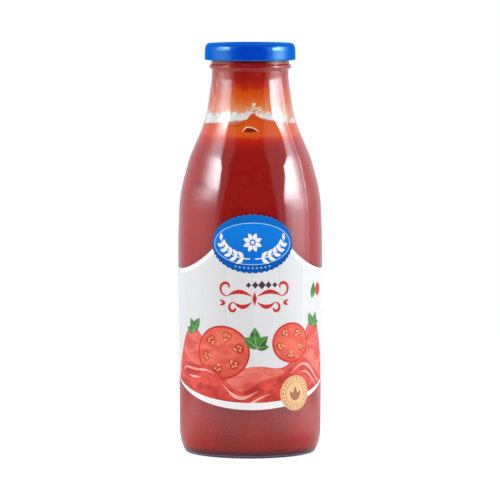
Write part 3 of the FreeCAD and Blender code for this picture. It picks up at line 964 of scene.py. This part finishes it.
def build_print():
    ink = {name: plain_material("ink_" + name, *look) for name, look in PLAIN_INKS.items()}
    art = {name: art_material("ink_" + name, *look) for name, look in ART_INKS.items()}
    blue = shaded_blue("ink_blue", (0.0, 0.095, 0.42), (0.0, 0.150, 0.56))
    sky = shaded_blue("ink_sky_blue", (0.002, 0.150, 0.62), (0.003, 0.215, 0.78))

    # white border along the bottom and the two swoops
    low = span(-48.5, 48.5, 60)
    border = [(a, bottom_edge(a)) for a in low] + [(a, border_edge(a)) for a in reversed(low)]
    high = span(SWOOP_START - 1.0, SWOOP_END, 20)
    side = [(a, swoop(a)) for a in high] + [(a, swoop(a, 2.3)) for a in reversed(high)]
    shapes = [(border, *layer(11)), (side, *layer(1)), (mirrored(side), *layer(1))]
    print_piece("print_border", shapes, ink["white"])

    # scalloped badge
    edge = ellipse(0, BADGE_Z, BADGE_HALF_W, BADGE_HALF_H, BADGE_SCALLOPS * 6, SCALLOP_RISE, BADGE_SCALLOPS)
    print_piece("print_badge", [(edge, 0.0, PAPER + 3 * INK)], blue)
    panel = ellipse(0, BADGE_Z, BADGE_HALF_W - 0.6, BADGE_HALF_H - 3.4, 72)
    printed("print_badge_panel", 4, [panel], sky)
    lines = ring(0, BADGE_Z, BADGE_HALF_W - 0.9, BADGE_HALF_H - 3.6, 0.35)
    for along in (k * 2.1 for k in range(-4, 5)):
        z = BADGE_Z - BADGE_HALF_H + 2.1 + 0.012 * along ** 2
        lines.append(ellipse(along, z, 0.42, 0.42, 12))
    printed("print_badge_lines", 5, lines, ink["pale_blue"])
    printed("print_badge_sprigs", 6, badge_sprigs(), ink["white"])

    # ornament under the badge
    printed("print_scrolls", 1, scrolls(1.0, 80.3), ink["red"])
    row = [diamond(4.6 + k * 3.3, 86.4, 1.9 - 0.28 * abs(k), 2.2 - 0.42 * abs(k)) for k in range(-2, 3)]
    printed("print_diamonds", 1, row, ink["dark"])

    # small leaf and fruit on the right
    printed("print_mark_leaf", 1, [leaf(35.2, 78.4, 8.2, 4.6, radians(78), -0.5)], art["green"])
    printed("print_mark_dot", 1, [ellipse(41.6, 82.6, 2.9, 3.1, 32)], ink["red"])

    # picture: rolling pulp, cut tomatoes and basil
    printed("print_hills_back", 2, [hill(back_crest)], art["hills_back"])
    skins, walls, cells, seeds = cut_tomatoes()
    printed("print_tomato_skin", 3, skins, ink["red"])
    printed("print_tomato_flesh", 4, walls, art["flesh"])
    printed("print_tomato_gel", 5, cells, art["gel"])
    printed("print_tomato_seeds", 6, seeds, ink["peach"])
    blades, ribs = basil()
    printed("print_basil", 7, blades, art["green"])
    printed("print_basil_ribs", 8, ribs, ink["lime"])
    printed("print_hills_front", 9, [hill(front_crest)], art["hills_front"])
    printed("print_hills_shine", 10, hill_shine(), art["shine"])

    print_piece("print_dots", [(dot, 0.0, INK) for dot in filler_dots()], ink["dark"])

    # round seal
    disc = ellipse(SEAL_ALONG, SEAL_Z, SEAL_R, SEAL_R, 60)
    print_piece("print_seal", [(disc, 0.0, PAPER + 12 * INK)], ink["peach"])
    lines = []
    for radius in (SEAL_R - 0.5, SEAL_R - 2.9):
        lines += ring(SEAL_ALONG, SEAL_Z, radius, radius, 0.22)
    for k in range(22):
        t = 2 * pi * k / 22
        lines.append(ellipse(*polar(SEAL_ALONG, SEAL_Z, t, 7.0, 7.0), 0.42, 0.42, 10))
    for k in (-1, 0, 1):
        size = 7.0 - 1.2 * abs(k)
        lines.append(leaf(SEAL_ALONG, SEAL_Z - 3.6, size, 2.5, pi / 2 - 0.62 * k))
    printed("print_seal_lines", 13, lines, ink["brown"])


def filler_dots():
    """The filler's small ink dots on the shoulder, as plain rows without characters."""
    dice = random.Random(5)
    dots = []
    for row, column, step in itertools.product(range(2), range(14), range(5)):
        if dice.random() < 0.45:
            along = -40.0 + column * 1.05 + dice.gauss(0.0, 0.05)
            z = 136.0 - row * 5.6 - step * 0.95 + 0.03 * column
            dots.append(ellipse(along, z, 0.29, 0.29, 8))
    return dots


def diamond(along, z, half_w, half_h):
    return [(along + half_w, z), (along, z + half_h), (along - half_w, z), (along, z - half_h)]


def badge_sprigs():
    """Two leafy sprigs that curve up round a small flower."""
    shapes = []
    stem = []
    for i in range(19):
        t = i / 18
        stem.append((1.2 + 15.0 * sin(t * 1.35), 99.3 + 11.5 * (1 - cos(t * 1.35))))
    stalk = ribbon(stem, [0.55 - 0.3 * i / 18 for i in range(19)])
    shapes += [stalk, mirrored(stalk)]
    for k in range(3, 18, 3):
        (a0, z0), (a1, z1) = stem[k - 1], stem[k]
        turn = atan2(z1 - z0, a1 - a0)
        size = 4.9 - 0.12 * k
        for side in (1, -1):
            blade = leaf(a1, z1, size, 1.9, turn + side * 0.75, side * 0.25)
            shapes += [blade, mirrored(blade)]
    tip = leaf(*stem[-1], 3.6, 1.6, 1.6)
    shapes += [tip, mirrored(tip)]
    for k in range(8):
        turn = pi / 8 + k * pi / 4
        shapes.append(leaf(*polar(0.0, 107.4, turn, 1.3, 1.3), 3.6, 2.1, turn))
    shapes.append(ellipse(0, 107.4, 0.85, 0.85, 16))
    return shapes


def wave_end(along, crest):
    """Lets a wave run out in a round shoulder at both ends of the picture."""
    beyond = max(0.0, (abs(along) - 37.0) / 12.0)
    low = LABEL_LOW_Z + 0.4
    return low + (crest - low) * sqrt(max(0.0, 1.0 - min(1.0, beyond) ** 2.4))


def back_crest(along):
    """Top of the pulp's far wave."""
    left = 20.0 * exp(-((along + 35.0) / 13.0) ** 2)
    right = 23.0 * exp(-((along - 37.0) / 13.0) ** 2)
    crest = 45.0 + left + right + 1.2 * sin(along * 0.21 + 1.0)
    return wave_end(along, crest)


def front_crest(along):
    """Top of the near wave."""
    return wave_end(along, 41.5 + 6.5 * sin(along * 0.105 - 1.3) + 1.6 * sin(along * 0.26 + 0.4))


def hill(crest):
    """A wave's outline, down to the middle of the white border."""
    low = [(a, border_edge(a) - 1.5) for a in span(-46.0, 46.0, 60)]
    return low + [(a, crest(a)) for a in span(49.0, -49.0, 120)]


# first and last place along the paper, drop under the wave's top, and width
SHINES = ((-44, -20, 2.6, 1.1), (-15, 3, 3.4, 1.6), (-9, 9, 7.4, 0.9),
          (20, 45, 3.0, 1.4), (26, 40, 6.8, 0.9), (-38, -28, 6.4, 0.7))


def hill_shine():
    """Streaks of light on the near wave."""
    shapes = []
    for first, last, drop, width in SHINES:
        points = [(a, front_crest(a) - drop) for a in span(first, last, 20)]
        widths = [0.15 + width * sin(pi * i / 20) ** 1.3 for i in range(21)]
        shapes.append(ribbon(points, widths))
    return shapes


# middle, half width and height, number of chambers, and turn
TOMATOES = ((-15.5, 53.0, 14.2, 13.2, 6, 0.25), (20.5, 57.5, 10.6, 10.0, 5, 0.9))
SEED_PLACES = ((0.70, -0.5), (0.74, 0.1), (0.68, 0.55), (0.55, -0.2), (0.52, 0.3))


def cut_tomatoes():
    """Outlines of two halved tomatoes: skins, flesh, seed chambers and seeds."""
    skins, walls, cells, seeds = [], [], [], []
    for along, z, half_w, half_h, chambers, turn in TOMATOES:
        skins.append(ellipse(along, z, half_w, half_h, 72))
        walls.append(ellipse(along, z, half_w - 0.9, half_h - 0.9, 72))
        for k in range(chambers):
            mid = turn + 2 * pi * k / chambers
            spread = pi / chambers * 0.72
            cell = []
            for i in range(24):
                t = 2 * pi * i / 24
                share = 0.60 + 0.22 * cos(t)
                a = mid + spread * sin(t) * (0.72 + 0.28 * cos(t))
                cell.append(polar(along, z, a, half_w * share, half_h * share))
            cells.append(cell)
            for share, side in SEED_PLACES:
                a = mid + side * spread * 0.8
                stalk = polar(along, z, a, half_w * share, half_h * share)
                seeds.append(leaf(*stalk, 1.25, 0.75, a + pi + side * 0.8, 0.0, 5))
    return skins, walls, cells, seeds


# a sprig's place, and each leaf's length, width, direction in degrees and bend
BASIL = (
    (2.2, 55.0, ((10.5, 5.6, 96, 0.5), (8.6, 4.8, 140, -0.4), (8.2, 4.6, 48, 0.4), (6.0, 3.4, 8, 0.3))),
    (-33.0, 62.0, ((8.2, 4.4, 60, 0.4), (7.2, 4.0, 112, -0.3), (6.0, 3.4, 160, 0.2))),
    (36.5, 64.5, ((8.0, 4.2, 120, 0.4), (7.4, 4.0, 72, -0.3), (5.8, 3.2, 24, 0.2))),
)


def basil():
    """Three sprigs of basil: blades, and ribs on them."""
    blades, ribs = [], []
    for along, z, leaves in BASIL:
        for length, width, aim, bend in leaves:
            turn = radians(aim)
            blades.append(leaf(along, z, length, width, turn, bend, 16))
            steps = [0.04 + 0.84 * i / 8 for i in range(9)]
            points = [turned(along, z, length * t, bend * sin(pi * t), turn) for t in steps]
            ribs.append(ribbon(points, [0.42 - 0.035 * i for i in range(9)]))
    return blades, ribs


def scrolls(middle, z):
    """A pair of calligraphic scrolls, one the mirror of the other."""
    shapes = []
    for arm_z, length, curl, lift in ((0.6, 12.5, 4.3, 1.0), (-2.4, 9.0, 2.9, -1.0)):
        points, widths = [], []
        for i in range(25):
            t = i / 24
            points.append((1.4 + length * t, arm_z + lift * 2.2 * sin(pi * t)))
            widths.append(0.4 + 1.7 * sin(pi * t) ** 1.4)
        end = points[-1]
        for i in range(1, 44):
            t = i / 43
            a = -lift * (pi / 2) + lift * t * 4.9
            radius = curl * (1 - 0.80 * t)
            points.append(polar(end[0], end[1] + lift * curl, a, radius, radius))
            widths.append(0.4 + 1.05 * sin(pi * t) ** 0.8)
        shapes.append([(middle + a, z + b) for a, b in ribbon(points, widths)])
    shapes += [mirrored(s, middle) for s in shapes]
    for side in (1, -1):
        for turn, size in ((0.5, 3.6), (-0.35, 3.2)):
            direction = pi / 2 - side * (pi / 2 - turn)
            shapes.append(leaf(middle + side * 14.6, z - 2.9, size, 1.3, direction))
    shapes.append(diamond(middle, z - 0.6, 1.2, 3.6))
    return shapes


# ---- camera, light and floor ----
def look_at(thing, target):
    """Turns a camera or a lamp towards a place, and puts it in the scene."""
    thing.rotation_euler = (target - thing.location).to_track_quat("-Z", "Y").to_euler()
    bpy.context.collection.objects.link(thing)


def build_camera():
    aim = Vector((-0.075, 0.0, 100.75)) * MM
    data = bpy.data.cameras.new("camera")
    data.sensor_width = 36.0
    data.lens = 273.4
    data.clip_end = 100.0
    camera = bpy.data.objects.new("camera", data)
    camera.location = aim + Vector((0.0, -CAMERA_AWAY * MM, CAMERA_UP * MM))
    look_at(camera, aim)
    bpy.context.scene.camera = camera


def soft_box(s, away, level, box):
    """One soft box. away is the angle from the front towards its side, and level the height."""
    def by_level(stops):
        return s.profile(level, stops, -90, 90)

    inner = s.profile(s.minus(away, s.times(by_level(box["cut"]), box["cut_by"])), box["inner"])
    outer = s.profile(s.minus(away, s.times(by_level(box["low"]), box["low_by"])), box["outer"])
    weak = s.times(by_level(box["near"]), s.minus(1.0, s.profile(away, box["soft"])))
    return s.times(inner, outer, by_level(box["up"]), s.minus(1.0, weak))


def build_world():
    """White for the camera and through the glass, soft for matt surfaces, and for mirrored rays a
    dark room with two large soft boxes, whose inner edges are crisp and whose outer edges fade."""
    world = bpy.data.worlds.new("studio")
    bpy.context.scene.world = world
    world.use_nodes = True
    world.node_tree.nodes.clear()
    s = Shade.on(world.node_tree)
    toward = s.node("SeparateXYZ", {0: s.node("TexCoord").outputs["Generated"]})
    x, y, z = (toward.outputs[i] for i in range(3))
    turn = s.math("DEGREES", s.math("ARCTAN2", x, s.times(y, -1.0)))
    level = s.math("DEGREES", s.math("ARCSINE", z))
    leftward = s.times(turn, -1.0)
    boxes = s.plus(soft_box(s, leftward, level, LEFT_BOX), soft_box(s, turn, level, RIGHT_BOX))
    lean = s.times(level, 0.3)
    strips = s.plus(s.times(s.profile(s.plus(leftward, lean), LEFT_STRIP), 0.7),
                    s.times(s.profile(s.plus(turn, lean), RIGHT_STRIP), 0.75))
    walls = s.times(s.larger(s.profile(s.size(turn), BACK_WALL), strips),
                    s.profile(level, CEILING, -90, 90))
    room = s.plus(s.times(boxes, BOX_LIGHT), walls)
    mirrored_room = s.between(s.rise(-6.5, -9.5, level), room, s.profile(turn, TABLE, -180))
    matt_light = s.profile(s.size(turn), MATT_LIGHT)
    glossy, white = s.rays("Glossy"), s.rays("Camera", "Transmission")
    seen = s.between(white, s.between(glossy, matt_light, mirrored_room), 1.0)
    tint = s.mix(glossy, (1.0, 1.0, 1.0), (0.81, 0.94, 1.0))
    tint = s.mix(white, tint, (1.0, 1.0, 1.0))
    s.put(s.output.inputs["Surface"], s.node("Background", {"Color": tint, "Strength": seen}))


def build_lamp(name, azimuth, power):
    """A soft lamp that lights matt surfaces; what glass mirrors of the studio is in the world."""
    data = bpy.data.lights.new(name, "AREA")
    data.shape = "RECTANGLE"
    data.size, data.size_y = 0.9, 1.2
    data.energy = power
    lamp = bpy.data.objects.new(name, data)
    lamp.location = Vector(around(radians(azimuth), LAMP_AWAY, LAMP_UP)) * MM
    lamp.visible_camera = False
    lamp.visible_glossy = False
    look_at(lamp, Vector((0.0, 0.0, 0.1)))


def build_floor():
    """A white table top. It glows by itself for the camera, and in what the glass shows of it."""
    floor = make_object("floor", [around(a, FLOOR_R, 0.0) for a in ring_angles(96)], [range(96)])
    s = Shade("white_floor")
    spot = s.node("TexCoord").outputs["Object"]
    open_table = s.rise(0.07, 0.20, s.node("VectorMath", {0: spot}, operation="LENGTH").outputs["Value"])
    far = s.rise(0.0, 0.13, s.axis("Y"))
    sides = s.plus(s.times(s.rise(0.03, 0.20, s.axis("X")), 0.95),
                   s.times(s.rise(-0.03, -0.20, s.axis("X")), 0.25))
    glow_by_place = s.times(s.plus(s.times(open_table, 0.45), sides), s.minus(1.0, s.times(far, 0.70)))
    glossy = s.times(s.rays("Glossy"), glow_by_place)
    dim = s.times(s.rays("Glossy"), far)
    matt = s.node("BsdfDiffuse", {"Color": s.mix(dim, (0.8, 0.8, 0.8), (0.40, 0.40, 0.40))})
    strength = s.between(s.rays("Camera", "Transmission"), glossy, FLOOR_GLOW)
    glow = s.node("Emission", {"Color": (1.0, 1.0, 1.0), "Strength": strength})
    floor.data.materials.append(s.surface(s.node("AddShader", {0: matt, 1: glow})))


build_camera()
build_world()
build_lamp("lamp_left", -62.0, 3.5)
build_lamp("lamp_right", 68.0, 5.4)
build_floor()
build_bottle()
build_heel_edge()
build_pulp()
build_film()
build_wall_marks()
build_cap()
build_paper()
build_print()

scene = bpy.context.scene
scene.view_settings.view_transform = "Standard"
